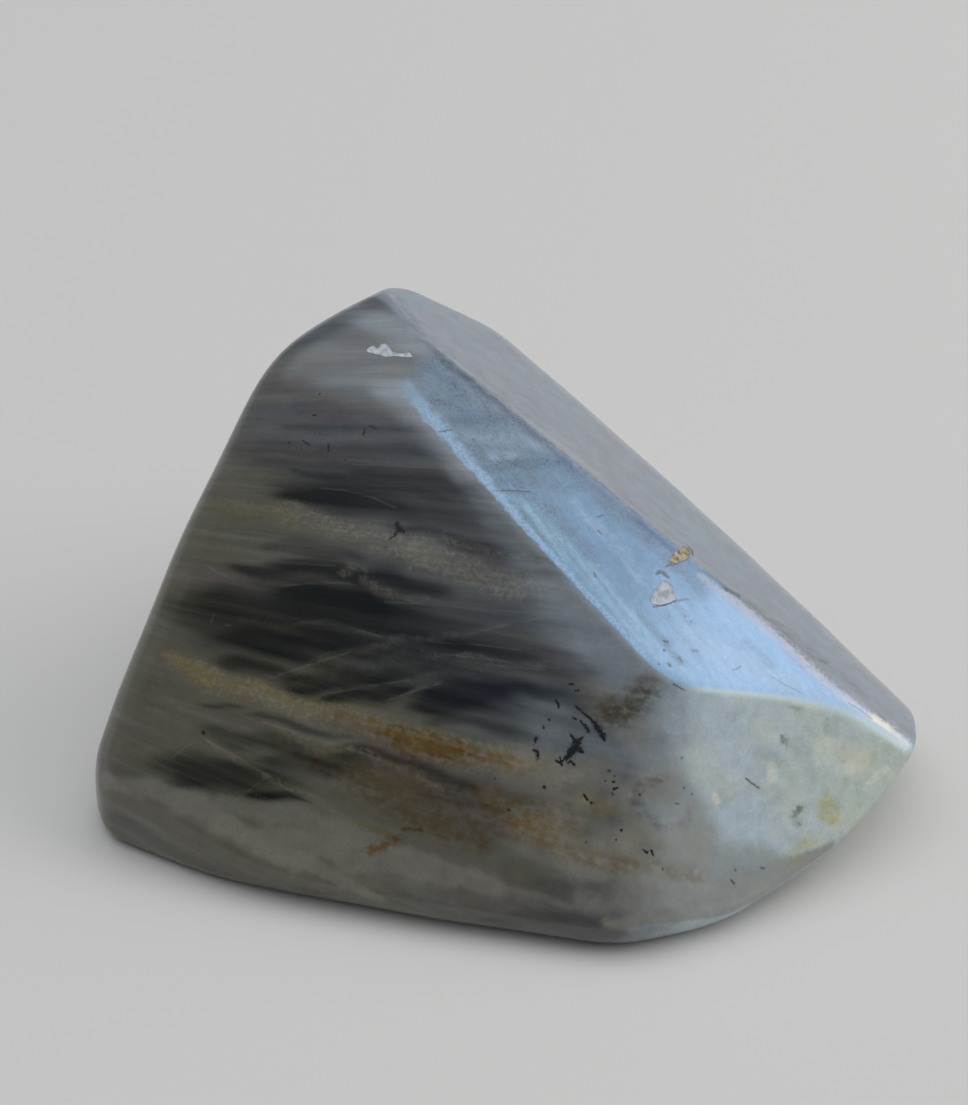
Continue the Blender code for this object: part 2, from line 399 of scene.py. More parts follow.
# Yellowish stains.
OCHRE_ZONES = {
    "vein's left end": zone(0.65, (169, 645, 3), (178, 660, 10), (195, 671, 13), (205, 680, 9)),
    "vein": zone(0.4, (215, 678, 10), (260, 688, 12), (300, 699, 10), (370, 719, 10)),
    "vein's right end": zone(0.5, (470, 750, 16), (510, 762, 14)),
    "olive patches": zone(0.75, (484, 790, 14), (505, 808, 22), (530, 826, 24), (545, 842, 14)),
    "patch by the dots": zone(0.6, (590, 798, 12), (602, 812, 14)),
    "thin line": zone(0.8, (354, 822, 3), (380, 832, 4), (402, 839, 3)),
    "second thin line": zone(0.6, (405, 848, 3), (430, 860, 3)),
    "yellow on the pale front": zone(0.9, (826, 800, 12), (828, 814, 14)),
    "tan under it": zone(0.5, (812, 838, 14), (795, 858, 14)),
    "greenish yellow near the tip": zone(0.2, (845, 756, 14), (875, 762, 10)),
    "light band's start": zone(0.2, (215, 502, 14), (250, 512, 18), (290, 522, 12)),
    "olive band": zone(0.2, (215, 510, 14), (300, 525, 18), (380, 548, 20), (470, 575, 18)),
}

# Orange-brown stains.
RUST_ZONES = {
    "rust in the vein": zone(0.9, (400, 737, 16), (420, 744, 23), (445, 749, 21)),
    "rust along the vein": zone(0.3, (330, 716, 10), (400, 736, 22), (470, 755, 20), (520, 768, 14)),
    "low spot": zone(0.8, (374, 850, 8), (388, 846, 8), (398, 839, 5)),
    "low dash": zone(0.7, (404, 832, 4), (417, 831, 4)),
    "thread on the left rim": zone(0.5, (167, 632, 1.5), (169, 650, 1.5)),
}

# Smoky brown clouds.
BROWN_ZONES = {
    "wide low cloud": zone(0.4, (330, 765, 26), (400, 795, 46), (480, 815, 46), (560, 820, 36)),
    "low cloud": zone(0.6, (370, 785, 18), (410, 800, 32), (440, 818, 36), (470, 832, 26), (482, 846, 14)),
    "under the vein": zone(0.5, (280, 745, 14), (340, 762, 22), (400, 780, 26)),
    "cloud by the fork": zone(0.8, (606, 714, 18), (626, 700, 22), (650, 686, 16)),
    "low right cloud": zone(0.35, (560, 850, 14), (620, 865, 16), (700, 872, 16)),
    "skirt": zone(0.6, (190, 865, 10), (260, 885, 10), (330, 895, 8)),
    "left rim": zone(0.15, (172, 600, 16), (160, 650, 16), (150, 700, 16)),
}

# Grey-violet clouds.
MAUVE_ZONES = {
    "top": zone(0.8, (300, 405, 14), (322, 408, 16), (350, 420, 14)),
    "streak under the vein": zone(0.6, (345, 748, 6), (385, 758, 10), (430, 774, 12), (465, 792, 10)),
    "ring": zone(
        0.4, (662, 777, 6), (640, 781, 8), (629, 798, 9), (640, 816, 9), (664, 826, 8), (688, 818, 7),
        (694, 800, 5),
    ),
    "by the back ridge": zone(0.7, (775, 640, 6), (805, 668, 9), (840, 694, 6)),
    "violet patch in the skirt": zone(0.35, (540, 888, 12), (600, 889, 12)),
}

# Cream spots and glints in the pale front.
CREAM_ZONES = {
    "glint under the tip": zone(0.3, (865, 788, 3), (878, 777, 6), (888, 768, 4)),
    "pale spot": zone(0.4, (716, 797, 5), (718, 803, 5)),
    "pale patch": zone(0.25, (770, 764, 8), (770, 778, 8)),
    "light by the tip": zone(0.2, (828, 752, 22), (858, 764, 20)),
}

# Where the edge behind the blue face catches the light.
GLINT_ZONES = {
    "start": zone(0.25, (400, 305, 10), (480, 380, 14), (560, 450, 14), (640, 515, 14), (700, 565, 12)),
    "mottled": zone(0.6, (700, 578, 10), (748, 612, 18), (790, 646, 20), (820, 674, 16)),
    "foot": zone(0.45, (812, 668, 16), (845, 697, 16), (868, 714, 12)),
    "tip's start": zone(0.5, (845, 697, 12), (866, 712, 14), (885, 726, 12)),
    "tip": zone(0.85, (876, 718, 13), (892, 730, 15), (907, 743, 13)),
}

# Warm grey haze low in the front.
BEIGE_ZONES = {
    "right of the vein": zone(0.5, (520, 770, 30), (590, 790, 40), (640, 800, 40)),
    "low middle": zone(0.6, (540, 830, 40), (600, 860, 45), (660, 870, 45)),
    "low right": zone(0.75, (640, 850, 50), (700, 870, 50), (760, 870, 40)),
    "under the pale corner": zone(0.5, (590, 900, 22), (640, 902, 22), (690, 900, 24), (735, 892, 22)),
    # The bottom rim is painted shade: warm grey in place of the paler colours along the stone's lowest edge.
    "bottom rim": zone(
        0.85, (610, 922, 8), (650, 920, 12), (690, 914, 16), (725, 903, 20), (775, 880, 18),
        (830, 846, 12),
    ),
    "by the pale corner": zone(0.45, (600, 700, 30), (650, 740, 30), (670, 770, 30)),
    "left of the pale front": zone(0.75, (662, 785, 28), (690, 806, 32), (702, 840, 30)),
    "foot of the pale front": zone(0.6, (700, 900, 30), (760, 890, 26), (810, 860, 16)),
}

# Dark green and grey spots in the pale faces.
GREEN_ZONES = {
    "behind the ridge's top": zone(
        0.25, (400, 298, 7), (422, 338, 12), (460, 371, 13), (492, 393, 12), (527, 415, 9),
    ),
    "shade of the ring": zone(
        0.22, (662, 777, 8), (640, 781, 10), (630, 798, 12), (642, 814, 11), (666, 822, 10),
    ),
    "fork's cloud": zone(0.35, (604, 720, 16), (628, 706, 24), (652, 694, 18)),
    "spot by the right ridge": zone(0.8, (784, 737, 5), (787, 743, 5)),
    "spots over the yellow": zone(0.7, (800, 806, 6), (794, 816, 6), (797, 822, 6)),
    "faint spot": zone(0.3, (792, 707, 7), (800, 711, 6)),
    "second faint spot": zone(0.3, (830, 722, 7), (828, 730, 6)),
    "smudge on the grey back": zone(0.6, (720, 585, 3), (728, 589, 5), (736, 593, 3)),
    "second smudge on the grey back": zone(0.7, (812, 657, 4), (820, 661, 6), (829, 666, 4)),
    "shade on the grey back": zone(0.22, (740, 596, 10), (785, 628, 14), (835, 670, 14), (866, 696, 9)),
}

# Deeper and paler parts of the blue face, where the painted reflection of its flash is weaker or stronger.
DEEP_BLUE_ZONES = {
    "teal hollow": zone(0.75, (520, 490, 9), (560, 522, 15), (592, 556, 11)),
    "by the shoulder": zone(0.6, (400, 366, 8), (430, 368, 10), (458, 384, 8)),
    "mottled patch 1": zone(0.7, (428, 398, 7), (450, 404, 9), (470, 412, 6)),
    "mottled patch 2": zone(0.8, (455, 420, 8), (478, 418, 12), (505, 420, 8)),
    "mottled patch 3": zone(0.8, (488, 468, 8), (520, 466, 12), (556, 464, 8)),
    "mottled patch 4": zone(0.5, (500, 482, 8), (540, 484, 10), (580, 486, 8)),
    "groove inside the bright band": zone(0.6, (488, 480, 3), (515, 508, 4), (540, 536, 4), (556, 556, 3)),
    "far side": zone(0.7, (560, 462, 8), (610, 505, 13), (660, 548, 15), (700, 590, 12)),
    "streaks below the teal": zone(0.6, (640, 612, 4), (660, 640, 8), (682, 664, 7)),
    "below the chips": zone(0.4, (680, 610, 8), (690, 625, 8)),
    "blue shade": zone(0.35, (745, 640, 8), (770, 665, 8)),
}
PALE_BLUE_ZONES = {
    "teal patch 1": zone(0.45, (470, 436, 9), (500, 440, 12), (540, 446, 10)),
    "teal patch 2": zone(0.5, (496, 456, 8), (514, 455, 6)),
    "streak 1": zone(0.45, (572, 500, 8), (596, 524, 10), (625, 552, 10), (640, 580, 8)),
    "low middle": zone(0.6, (690, 640, 20), (740, 660, 22), (790, 685, 16), (850, 706, 8)),
    "at the top of the band": zone(0.3, (392, 376, 12), (410, 386, 10)),
}

ZONES = {
    "dark": DARK_ZONES,
    "veil": VEIL_ZONES,
    "haze": HAZE_ZONES,
    "milk": MILK_ZONES,
    "ochre": OCHRE_ZONES,
    "rust": RUST_ZONES,
    "brown": BROWN_ZONES,
    "mauve": MAUVE_ZONES,
    "cream": CREAM_ZONES,
    "glint": GLINT_ZONES,
    "beige": BEIGE_ZONES,
    "green": GREEN_ZONES,
    "deep_blue": DEEP_BLUE_ZONES,
    "pale_blue": PALE_BLUE_ZONES,
}

# A chip in the polish: how deep it is in mm, the way its floor falls (degrees from the picture's
# right towards its top), and the pixels round it.
Chip = namedtuple("Chip", "depth falls outline")

WHITE_CHIPS = {
    "on the shoulder": Chip(0.2, 200, [
        (366, 350), (369, 347), (373, 345), (378, 348), (381, 344), (385, 343), (389, 346),
        (392, 351), (397, 353), (405, 353), (410, 352), (413, 357), (405, 357), (394, 356),
        (386, 357), (381, 355), (374, 353.5), (368, 352),
    ]),
    "on the blue face": Chip(0.28, 240, [
        (662, 580.5), (657, 588), (650, 597), (652, 603.5), (661, 605), (671, 602.5), (676, 599),
        (674, 590), (668, 583),
    ]),
}
GOLD_CHIPS = {
    "on the blue face": Chip(0.25, 30, [
        (668.5, 561), (671, 556), (676, 551), (683, 547.5), (689, 547.5), (691, 552), (689, 557),
        (684, 560.5), (677, 563), (671, 563.5),
    ]),
}

# A chip is looked for among the points within CHIP_AREA mm of its middle that lie on its side of
# the stone: the cosine between the two directions is over CHIP_SIDE. Its mark reaches CHIP_REACH
# mm past its outline. Its wall is CHIP_WALL mm wide, and its floor falls in CHIP_STEPS steps,
# from CHIP_SHALLOWEST of its depth.
CHIP_AREA = 6
CHIP_SIDE = 0.5
CHIP_REACH = 1
CHIP_WALL = 0.14
CHIP_STEPS = 3
CHIP_SHALLOWEST = 0.35

# How the zones of a kind end: how steeply, how much more so on their upper side, and how much
# shorter a length along the fibres counts than one across them.
Ending = namedtuple("Ending", "steepness upper along")

SHARP = Ending(1, 0, 1)
SOFT = Ending(1.3, 0, 0.8)
ENDINGS = {
    "dark": Ending(1.25, 0.4, 0.28),
    "veil": Ending(1.4, 0.4, 0.7),
    "haze": Ending(1.5, 0.8, 0.8),
    "milk": Ending(1.15, 0, 0.45),
    "rust": Ending(1.15, 0, 0.5),
    "ochre": Ending(1.2, 0, 0.6),
    "cream": Ending(2, 0, 1),
    "glint": Ending(1.5, 0, 1),
    "green": Ending(1.5, 0, 1),
}

# Distances from edges are kept up to this many mm.
FARTHEST = 60

# How the fibres run in the front, the blue face and the grey back: from one pixel to another.
# Those of the front spread apart towards the right, by FRONT_FAN of their gap in each mm.
FRONT_FIBRES = ((250, 560), (560, 610))
BLUE_FIBRES = ((520, 470), (640, 620))
BACK_FIBRES = ((560, 430), (740, 575))
FRONT_FAN = 0.007

# The ends of the blue face's front ridge.
RIDGE_TOP = (402, 388)
RIDGE_TIP = (905, 738)

STONE_IOR = 1.56
ROUGHNESS = 0.21

FLOOR_REACH = 8
FLOOR_COLOUR = (0.62, 0.61, 0.595, 1)
FLOOR_ROUGHNESS = 0.9

# A round softbox: which way it is from the stone, how far off and how wide in metres, and its
# power in watts.
Softbox = namedtuple("Softbox", "direction distance width power colour")

SOFTBOXES = {
    "window light": Softbox((0.835, 0.073, 0.545), 1.2, 1.05, 5.6, (1, 0.985, 0.97)),
    "left fill": Softbox((-0.83, 0.18, 0.53), 1.1, 1.5, 1.2, (0.95, 0.98, 1)),
}

# The room's glow: everywhere, on the ceiling and at the horizon. Heights are 0 at the horizon
# and 1 straight up.
ROOM_COLOUR = (0.95, 0.98, 1, 1)
WALL_GLOW = 0.11
CEILING_GLOW = 1.7
CEILING_FROM = 0.6
HORIZON_GLOW = 0.5
HORIZON_FOOT = 0.02
HORIZON_TOP = 0.12


def tint(red, green, blue):
    """A colour given as on a screen, 0 to 255, in shaders' linear values, by the sRGB curve."""
    linear = []
    for value in (red / 255, green / 255, blue / 255):
        linear.append(value / 12.92 if value < 0.04045 else ((value + 0.055) / 1.055) ** 2.4)
    return (*linear, 1)


SMOKE_OLIVE = tint(90, 87, 75)
SMOKE_BLUE = tint(78, 83, 88)
SMOKE_MAUVE = tint(88, 81, 80)
SMOKE_LIGHT = tint(108, 110, 106)
WINDOW_GREEN = tint(11, 16, 12)
WINDOW_BLUE = tint(7, 15, 24)
VEIL_WARM = tint(114, 108, 86)
VEIL_COOL = tint(118, 119, 115)
VEIL_FIBRE = tint(146, 143, 130)
HAZE = tint(116, 114, 105)
MILK = tint(135, 145, 154)
BEIGE = tint(136, 132, 120)
LINE_LIGHT = tint(150, 152, 148)
PALE_GREEN = tint(186, 197, 189)
PALE_BLUE = tint(180, 194, 202)
PALE_WARM = tint(198, 200, 184)
PALE_DARK = tint(160, 172, 172)
# The flash colours paint the labradorite's blue flash into the colour. This is painted reflection of light
# thrown back from inside the stone, so it shows from every side.
FLASH_DULL = tint(103, 123, 140)
FLASH_MIDDLE = tint(92, 134, 170)
FLASH_SKY = tint(147, 185, 224)
FLASH_DEEP = tint(78, 102, 130)
FLASH_TEAL = tint(132, 174, 198)
FLASH_GREY = tint(122, 128, 144)
FLASH_PALE = tint(164, 190, 216)
FLASH_SPECK = tint(50, 68, 84)
# Painted highlight along the front ridge of the blue face.
FLASH_HIGHLIGHT = tint(150, 184, 216)
BACK_GREY = tint(134, 145, 156)
BACK_VIOLET = tint(136, 142, 154)
BACK_TAUPE = tint(140, 139, 138)
BACK_LIGHT = tint(168, 172, 174)
CREAM = tint(244, 236, 210)
RIDGE_LILAC = tint(208, 202, 206)
RIDGE_CREAM = tint(206, 216, 200)
INK_HALO = tint(44, 46, 46)
INK_BLACK = tint(12, 14, 16)
CHIP_WHITE = tint(186, 190, 196)
CHIP_BLUE = tint(142, 152, 166)
CHIP_GOLD = tint(180, 166, 134)
CHIP_BROWN = tint(104, 94, 76)
# Painted shade at the walls of the chips.
CHIP_RIM_SHADE = tint(52, 58, 64)

# What each stain lets through of red, green and blue.
STAINS = {
    "brown": (0.72, 0.58, 0.42, 1),
    "mauve": (0.84, 0.74, 0.8, 1),
    "ochre": (1, 0.87, 0.56, 1),
    "rust": (0.7, 0.44, 0.17, 1),
    "green": (0.34, 0.42, 0.34, 1),
}

# A texture of soft patches: their size in mm, a seed, and how detailed, rough and curled it is.
Clouds = namedtuple("Clouds", "size seed detail roughness curls", defaults=(3, 0.5, 0))

# A texture of streaks along the grain: their length and width in mm, a seed and the detail.
Streaks = namedtuple("Streaks", "length width seed detail", defaults=(2,))

GRAIN_SWAY = Clouds(9, 5, 1)
GRAIN_SWAY_SIZE = 0.5
COOL_DRIFT = Clouds(14, 1)

MAUVE_SMOKE = Streaks(24, 5, 7, 3)
LIGHT_SMOKE = Streaks(15, 1.8, 12, 5)
HAZE_CLOUDS = Clouds(5, 36)
WINDOW_STREAKS = Streaks(34, 1.1, 21, 4)
HIDDEN_WINDOWS = Streaks(20, 4, 15, 3)
VEIL_FIBRES = Streaks(3.5, 0.45, 32, 4)
VEIL_WOOL = Clouds(1, 33, 4, 0.6, 1.5)
HIDDEN_VEILS = Streaks(18, 2.6, 35, 3)
MILK_STREAKS = Streaks(14, 1.5, 45, 4)
BEIGE_CLOUDS = Clouds(3, 46, 5)

FRONT_STREAKS = Streaks(16, 0.9, 41, 4)
FRONT_HAIRS = Streaks(5, 0.18, 43)
FRONT_MOTTLING = Clouds(1.8, 48, 5)
FRONT_GRIT = Clouds(0.3, 47)
LINE_BREAKS = Streaks(4, 0.5, 44)

PALE_DRIFT = Clouds(8, 91, 4)
WARM_PATCHES = Clouds(6, 92, 4)
DARK_PATCHES = Clouds(3.5, 93, 5)
PALE_EDGE = Clouds(4, 94, 4)
PALE_MOTTLING = Clouds(1.2, 95, 5)
PALE_GRIT = Clouds(0.3, 96, 2)

STAIN_GRAINS = Clouds(0.8, 51, 5)
STAIN_STREAKS = Streaks(3, 0.6, 52, 3)
CREAM_GRAINS = Clouds(0.6, 99, 4)

FLASH_STREAKS = Streaks(9, 0.8, 61, 4)
FLASH_PATCHES = Streaks(9, 3.5, 62, 3)
FLASH_CLOUDS = Clouds(1.6, 64, 4)
FLASH_MOTTLING = Clouds(1.2, 67, 5, 0.6, 1)
FLASH_GRIT = Clouds(0.3, 68, 2)
FLASH_HAIRS = Streaks(4, 0.25, 66)
SPECKLES = Clouds(0.27, 72, 2)
SPECKLED_PATCHES = Clouds(2.6, 73)
TOP_FADE = Clouds(2, 55)

BAND_SIDES = Clouds(0.9, 71, 4)
BAND_CRACKS = Clouds(0.24, 74, 2)
LIGHT_BREAKS = Clouds(0.4, 75)

BACK_STREAKS = Streaks(16, 1.4, 81, 4)
VIOLET_PATCHES = Clouds(9, 82)
BACK_MOTTLING = Clouds(2.2, 83, 5)

INK_SIDES = Clouds(0.24, 101, 4)
CRYSTAL_GRAINS = Clouds(0.8, 111)

# The polish: how much its roughness changes, and the heights in mm of its grain and of the
# broken crystal in the chips.
GLOSS_PATCHES = Clouds(4, 121)
GLOSS_SPREAD = 0.12
BROKEN_ROUGHNESS = 0.35
POLISH_GRAIN = Clouds(0.35, 131, 2)
POLISH_HEIGHT = 0.004
CRYSTAL_HEIGHT = 0.06

ALONG_GRAIN = (1, 0, 0)
ACROSS_GRAIN = (0, 1, 0)
RIGHTWARDS = (1, 0, 0)
UPWARDS = (0, 0, 1)


def tilted_axes():
    """The camera's three directions: ahead, right and up."""
    tilt = math.radians(CAMERA_TILT)
    ahead = np.array([0, math.cos(tilt), -math.sin(tilt)])
    up = np.array([0, math.sin(tilt), math.cos(tilt)])
    return ahead, np.array([1, 0, 0]), up


AHEAD, RIGHT, UP = tilted_axes()
CAMERA = np.array(LOOKED_AT) - AHEAD * CAMERA_DISTANCE
FOCAL = LENS / SENSOR * PICTURE_HEIGHT


def looking(face):
    """The way that a face looks, as a unit vector."""
    around, down = math.radians(face.looks), math.radians(face.tips)
    return np.array([
        math.cos(around) * math.sin(down),
        math.sin(around) * math.sin(down),
        math.cos(down),
    ])


def dome_centre(face):
    """The centre of the ball that a face is a part of."""
    return np.array([face.x, face.y, face.z]) - face.dome * looking(face)


def outside_domes(points, faces):
    """How far each point lies outside each face's dome, in mm: one row a face."""
    centres = np.array([dome_centre(face) for face in faces])
    domes = np.array([face.dome for face in faces])
    squared = (centres ** 2).sum(axis=1)[:, None] - 2 * centres @ points.T + (points ** 2).sum(axis=1)
    return np.sqrt(squared) - domes[:, None]


def rounded_max(first, second, rounding):
    """The larger of two distances, with the edge where they meet rounded over."""
    near_edge = np.maximum(rounding - np.abs(first - second), 0)
    return np.maximum(first, second) + near_edge ** 2 / (4 * rounding)


def outside_groups(points):
    """How far each point lies outside each group of ground faces, in mm."""
    faces = [face for group in GROUPS.values() for face in group.faces]
    rows = iter(outside_domes(points, faces))
    distances = {}
    for name, group in GROUPS.items():
        ground = next(rows)
        for _ in group.faces[1:]:
            ground = rounded_max(ground, next(rows), group.seam)
        distances[name] = ground
    return distances


def waviness(points):
    """The height of the polish's waves at each point, in mm."""
    waves = np.zeros(len(points))
    for length, height, run in POLISH_WAVES:
        waves += height * np.sin(points @ np.array(run) * 2 * math.pi / length)
    return waves


def outside_stone(points):
    """How far each point lies outside the whole stone, in mm: below 0 is inside."""
    stone = None
    height = np.clip(points[:, 2] / STONE_HEIGHT, 0, 1)
    for name, ground in outside_groups(points).items():
        group = GROUPS[name]
        edge = group.edge_at_foot + (group.edge_at_top - group.edge_at_foot) * height
        stone = ground if stone is None else rounded_max(stone, ground, edge)
    return np.maximum(stone - waviness(points), -points[:, 2])


def met(starts, directions, steps):
    """The points in mm where rays from outside the stone meet it, by Newton's steps."""
    gone = np.zeros(len(starts))
    for _ in range(steps):
        here = starts + directions * gone[:, None]
        outside = outside_stone(here)
        fall = (outside - outside_stone(here + directions * SMALL_STEP)) / SMALL_STEP
        gone += outside / np.maximum(fall, LEAST_FALL)
    return starts + directions * gone[:, None]


def surface_points(directions, steps):
    """The points where rays from the stone's heart leave it, in mm."""
    return met(np.array(HEART) + directions * LONGEST_REACH, -directions, steps)


def outward(points):
    """The stone's outward directions at points on its surface."""
    slopes = []
    for step in np.eye(3) * NORMAL_STEP:
        slopes.append(outside_stone(points + step) - outside_stone(points - step))
    slopes = np.stack(slopes, axis=1)
    return slopes / np.linalg.norm(slopes, axis=1, keepdims=True)


def on_stone(pixels):
    """The points of the stone that the camera sees at these pixels, in mm."""
    pixels = np.array(pixels, float)
    across = (pixels[:, 0] - PICTURE_WIDTH / 2) / FOCAL
    rise = (PICTURE_HEIGHT / 2 - pixels[:, 1]) / FOCAL
    sight = AHEAD + across[:, None] * RIGHT + rise[:, None] * UP
    sight /= np.linalg.norm(sight, axis=1, keepdims=True)
    return met(np.repeat(CAMERA[None, :], len(pixels), axis=0), sight, STEPS)


def every_stroke():
    """The strokes of all marks and zones."""
    strokes = [*INK.values(), *LINES.values()]
    for zones in ZONES.values():
        strokes += [zone.dabs for zone in zones.values()]
    return strokes


def find_spots():
    """The points of the stone under all pixels of all strokes, worked out together."""
    pixels = sorted({(dab.x, dab.y) for dabs in every_stroke() for dab in dabs})
    return dict(zip(pixels, on_stone(pixels)))


SPOTS = find_spots()


def laid_on(dabs):
    """A stroke's points on the stone, and its half widths in mm. A dot is a stroke of no length."""
    if len(dabs) == 1:
        dabs = dabs * 2
    points = np.array([SPOTS[dab.x, dab.y] for dab in dabs])
    depth = (points - CAMERA) @ AHEAD
    halves = np.array([dab.half for dab in dabs]) * depth / FOCAL
    return points, halves


def grain_way():
    """The way that the fibres of the dark front run."""
    first, second = on_stone(FRONT_FIBRES)
    return (second - first) / np.linalg.norm(second - first)


GRAIN_WAY = grain_way()


def shortened(places, share):
    """Places moved together along the grain of the front."""
    return places - (1 - share) * (places @ GRAIN_WAY)[:, None] * GRAIN_WAY


def coverage(points, dabs, ending=SHARP):
    """1 along a stroke's middle, 0 at its sides and down to -1 beyond them, for each point."""
    path, halves = laid_on(dabs)
    middle = path.mean(axis=0)
    reach = np.linalg.norm(path - middle, axis=1).max() + 2 * halves.max() / ending.along
    near = np.flatnonzero(((points - middle) ** 2).sum(axis=1) < reach ** 2)
    places = shortened(points[near], ending.along)
    path = shortened(path, ending.along)
    covered = np.full(len(near), -1.0)
    for start, end, half, next_half in zip(path, path[1:], halves, halves[1:]):
        run = end - start
        along = np.clip((places - start) @ run / max(run @ run, TINY), 0, 1)
        beside = places - start - along[:, None] * run
        away = np.linalg.norm(beside, axis=1)
        steep = ending.steepness * (1 + ending.upper * (beside @ UP) / np.maximum(away, TINY))
        covered = np.maximum(covered, steep * (1 - away / (half + (next_half - half) * along)))
    everywhere = np.full(len(points), -1.0)
    everywhere[near] = covered
    return everywhere


def fine_places():
    """Places close together along the fine marks, and how far from each the mesh is fine."""
    places, reaches = [], []
    spots = [zone.dabs for zone in CREAM_ZONES.values()]
    for dabs in (*INK.values(), *LINES.values(), *spots):
        path, halves = laid_on(dabs)
        for start, end, half, next_half in zip(path, path[1:], halves, halves[1:]):
            count = 1 + int(np.linalg.norm(end - start) / MARK_SPACING)
            for share in np.linspace(0, 1, count + 1):
                places.append(start + (end - start) * share)
                reaches.append(half + (next_half - half) * share + MARK_MARGIN)
    for chip in (*WHITE_CHIPS.values(), *GOLD_CHIPS.values()):
        outline = on_stone(chip.outline)
        centre = outline.mean(axis=0)
        for ring in CHIP_RINGS:
            places += list(centre + (outline - centre) * ring)
            reaches += [CHIP_MARGIN] * len(outline)
    return places, reaches


class MarkFinder:
    """Says how far points are from the nearest fine mark."""

    def __init__(self):
        places, self.reaches = fine_places()
        self.tree = KDTree(len(places))
        for index, place in enumerate(places):
            self.tree.insert(place, index)
        self.tree.balance()

    def beyond(self, points):
        """How far each point lies beyond the reach of the nearest mark, in mm."""
        gaps = np.empty(len(points))
        for index, point in enumerate(points):
            _, nearest, distance = self.tree.find(point)
            gaps[index] = distance - self.reaches[nearest]
        return gaps


def ball_directions(mesh):
    """The directions of a ball's vertices, as unit vectors."""
    places = np.empty(len(mesh.vertices) * 3)
    mesh.vertices.foreach_get("co", places)
    places = places.reshape(-1, 3)
    return places / np.linalg.norm(places, axis=1, keepdims=True)


def edge_ends(mesh):
    """The two vertices of each edge."""
    ends = np.empty(len(mesh.edges) * 2, np.int32)
    mesh.edges.foreach_get("vertices", ends)
    return ends.reshape(-1, 2)


def edges_to_halve(mesh, finder):
    """The edges of a ball that are too long for the surface that they'll lie on."""
    points = surface_points(ball_directions(mesh), ROUGH_STEPS)
    normals = outward(points)
    first, second = edge_ends(mesh).T
    length = np.linalg.norm(points[first] - points[second], axis=1)
    turn = np.einsum("ij,ij->i", normals[first], normals[second])
    turning = (turn < math.cos(math.radians(TURN))) & (length > TURNING_EDGE)
    gaps = finder.beyond(points)
    gap = np.minimum(gaps[first], gaps[second])
    near_mark = (gap < MARK_NEARNESS * length) & (length > MARK_EDGE)
    faces_camera = (normals[first] + normals[second]) @ -AHEAD / 2
    too_long = length > np.where(faces_camera > SEEN_FROM, SEEN_EDGE, LONGEST_EDGE)
    return np.flatnonzero(turning | near_mark | too_long)


def refined_ball():
    """A ball whose triangles are fine where the stone's surface turns or has marks."""
    mesh = bpy.data.meshes.new("stone_skin")
    bm = bmesh.new()
    bmesh.ops.create_icosphere(bm, subdivisions=BALL_SUBDIVISIONS, radius=1)
    finder = MarkFinder()
    for _ in range(ROUNDS):
        bm.to_mesh(mesh)
        bm.edges.ensure_lookup_table()
        edges = [bm.edges[index] for index in edges_to_halve(mesh, finder)]
        bmesh.ops.subdivide_edges(bm, edges=edges, cuts=1)
        for vert in bm.verts:
            vert.co.normalize()
        bmesh.ops.triangulate(bm, faces=[face for face in bm.faces if len(face.verts) > 3])
    bm.to_mesh(mesh)
    bm.free()
    return mesh


def inside_outline(places, corners):
    """How far each flat place lies inside a closed outline: below 0 is outside."""
    nearest = np.full(len(places), np.inf)
    within = np.zeros(len(places), bool)
    for start, end in zip(corners, np.roll(corners, -1, axis=0)):
        run = end - start
        to_place = places - start
        along = np.clip(to_place @ run / (run @ run), 0, 1)
        nearest = np.minimum(nearest, np.linalg.norm(to_place - along[:, None] * run, axis=1))
        crosses = (start[1] > places[:, 1]) != (end[1] > places[:, 1])
        cut = start[0] + to_place[:, 1] * run[0] / (run[1] or 1)
        within ^= crosses & (places[:, 0] < cut)
    return np.where(within, nearest, -nearest)


def flat_on(points, centre, normal):
    """The places of points on the plane that touches the stone at centre."""
    right = RIGHT - normal * (RIGHT @ normal)
    right /= np.linalg.norm(right)
    up = np.cross(normal, right)
    return np.stack([(points - centre) @ right, (points - centre) @ up], axis=1)


def inside_chip(points, normals, chip):
    """How far each point lies inside a chip, and how far down its floor's fall."""
    outline = on_stone(chip.outline)
    centre = outline.mean(axis=0)
    normal = outward(centre[None, :])[0]
    corners = flat_on(outline, centre, normal)
    inside = np.full(len(points), -CHIP_REACH, float)
    down = np.zeros(len(points))
    close = np.linalg.norm(points - centre, axis=1) < CHIP_AREA
    near = np.flatnonzero(close & (normals @ normal > CHIP_SIDE))
    places = flat_on(points[near], centre, normal)
    inside[near] = np.maximum(inside_outline(places, corners), -CHIP_REACH)
    fall = math.radians(chip.falls)
    slope = places @ np.array([math.cos(fall), math.sin(fall)])
    down[near] = slope / np.abs(corners).max()
    return inside, down


def chip_depth(inside, down, chip):
    """A chip's depth: a steep wall down to a floor that falls in small steps."""
    share = np.clip((1 + down) / 2, 0, 1)
    stepped = np.round(share * CHIP_STEPS) / CHIP_STEPS
    floor = chip.depth * (CHIP_SHALLOWEST + (1 - CHIP_SHALLOWEST) * (share + stepped) / 2)
    return np.clip(inside / CHIP_WALL, 0, 1) * floor


def turn_between(first, second):
    """How fast the difference of two faces' distances grows, per mm from their edge."""
    return math.sqrt(2 - 2 * looking(first) @ looking(second))


